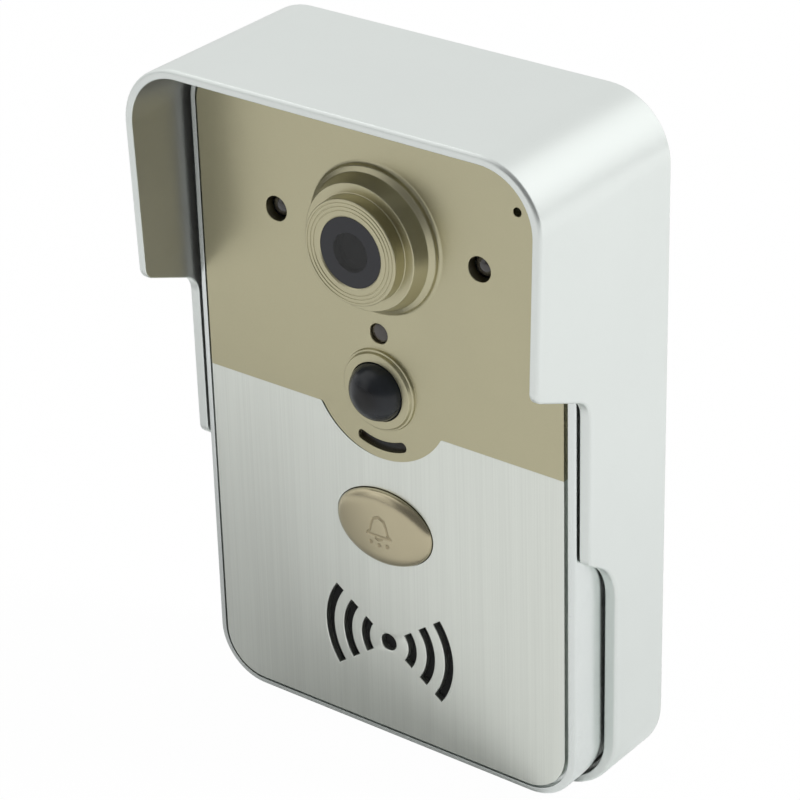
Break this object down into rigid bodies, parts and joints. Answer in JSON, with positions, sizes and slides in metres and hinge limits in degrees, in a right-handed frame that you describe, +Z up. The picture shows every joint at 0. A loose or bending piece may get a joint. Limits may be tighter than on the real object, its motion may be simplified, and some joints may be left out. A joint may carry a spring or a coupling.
{
  "type": "door intercom panel",
  "caption": "Wall-mounted door intercom panel with a camera turret, motion sensor, oval call button and speaker slots, in a stepped silver rain hood.",
  "frame": {"origin": "centre of the hood's back face, on the wall plane, in the middle of the wall screw pattern", "axes": "+Y out of the back face into the wall, so the front looks along -Y; +Z up; +X to the right seen from the front"},
  "size_m": [0.1012, 0.0433, 0.1522],
  "materials": {
    "hood_silver": "fine silver lacquer over moulded plastic, satin",
    "case_silver": "fine silver lacquer over moulded plastic, satin",
    "rear_grey": "plain dark grey moulding",
    "seal_rubber": "soft black rubber",
    "screw_steel": "plated steel",
    "fascia_champagne": "champagne metallic lacquer, fine grain",
    "plate_brushed": "brushed up and down, clear anodised",
    "window_black": "clear cover with a black surround",
    "lens_coated": "coated lens",
    "camera_black": "matt black",
    "chip_dark": "sensor chip under a clear cover",
    "board_green": "green solder mask",
    "lamp_smoke": "dark clear resin",
    "motion_black": "glossy black lens",
    "can_nickel": "nickel can",
    "guide_smoke": "smoked clear plastic",
    "led_white": "white lamp housing",
    "can_aluminium": "plain drawn can",
    "boot_grey": "grey silicone",
    "plunger_ivory": "ivory plastic",
    "cloth_black": "fine black mesh",
    "speaker_metal": "grey pressed metal",
    "cone_paper": "treated paper",
    "magnet_iron": "plain grey magnet",
    "terminal_green": "green moulding"
  },
  "bodies": {
    "panel": {"rain_hood": "hood_silver", "front_case": "case_silver", "rear_case": "rear_grey", "case_seal": "seal_rubber", "case_screws": "screw_steel", "lock_screw": "screw_steel", "upper_fascia": "fascia_champagne", "lower_plate": "plate_brushed", "camera_window": "window_black", "lens_glass": "lens_coated", "lens_barrel": "camera_black", "lens_holder": "camera_black", "image_sensor": "chip_dark", "camera_board": "board_green", "infrared_lamps": "lamp_smoke", "light_sensor": "lamp_smoke", "motion_lens": "motion_black", "motion_sensor": "can_nickel", "status_light_guide": "guide_smoke", "status_leds": "led_white", "microphone": "can_aluminium", "microphone_boot": "seal_rubber", "button_boot": "boot_grey", "button_switch": "camera_black", "speaker_cloth": "cloth_black", "speaker_gasket": "seal_rubber", "speaker_frame": "speaker_metal", "speaker_cone": "cone_paper", "speaker_magnet": "magnet_iron", "main_board": "board_green", "board_screws": "screw_steel", "terminal_block": "terminal_green", "terminal_screws": "screw_steel", "wireless_module": "can_nickel"},
    "call_button": {"call_button": "fascia_champagne"},
    "switch_plunger": {"switch_plunger": "plunger_ivory"}
  },
  "joints": [
    {"name": "button_press", "type": "slide", "parent": "panel", "child": "call_button", "axis": [0, 1, 0], "range_m": [0, 0.0008], "stiffness_N_per_m": 2500, "deforming": ["button_boot"]},
    {"name": "plunger_press", "type": "slide", "parent": "panel", "child": "switch_plunger", "axis": [0, 1, 0], "range_m": [0, 0.0008]}
  ],
  "couplings": [
    {"joint": "plunger_press", "follows": "button_press", "ratio": 1}
  ]
}
